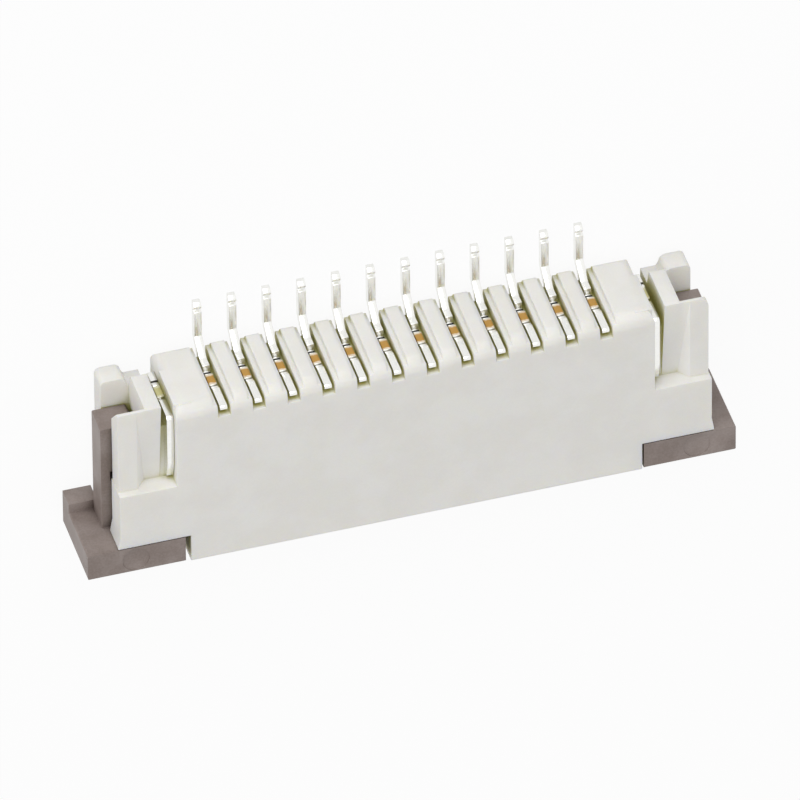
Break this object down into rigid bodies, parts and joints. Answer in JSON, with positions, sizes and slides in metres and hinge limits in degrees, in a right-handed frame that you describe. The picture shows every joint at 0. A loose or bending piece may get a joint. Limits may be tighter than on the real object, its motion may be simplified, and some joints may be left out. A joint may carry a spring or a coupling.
{
  "type": "fpc connector",
  "caption": "Right-angle surface-mount connector for a flat flexible cable, with a sliding lock, edge-on stamped contacts and two fitting nails.",
  "frame": {"origin": "on the board plane, at the middle of the row of contacts and of the connector's depth", "axes": "+X along the row of contacts, +Y from the cable entry towards the solder tails, +Z away from the board"},
  "size_m": [0.0187, 0.007, 0.0029],
  "materials": {
    "housing_resin": "moulded, fine matt, cream",
    "slider_resin": "moulded, satin, taupe brown",
    "tin_plate": "stamped copper alloy with bright tin plate"
  },
  "bodies": {
    "housing": {"housing": "housing_resin", "nail_left": "tin_plate", "nail_right": "tin_plate", "contact_01": "tin_plate", "contact_02": "tin_plate", "contact_03": "tin_plate", "contact_04": "tin_plate", "contact_05": "tin_plate", "contact_06": "tin_plate", "contact_07": "tin_plate", "contact_08": "tin_plate", "contact_09": "tin_plate", "contact_10": "tin_plate", "contact_11": "tin_plate", "contact_12": "tin_plate"},
    "slider": {"slider": "slider_resin"}
  },
  "joints": [
    {"name": "slider_slide", "type": "slide", "parent": "housing", "child": "slider", "axis": [0, -1, 0], "range_m": [0, 0.0012]}
  ]
}
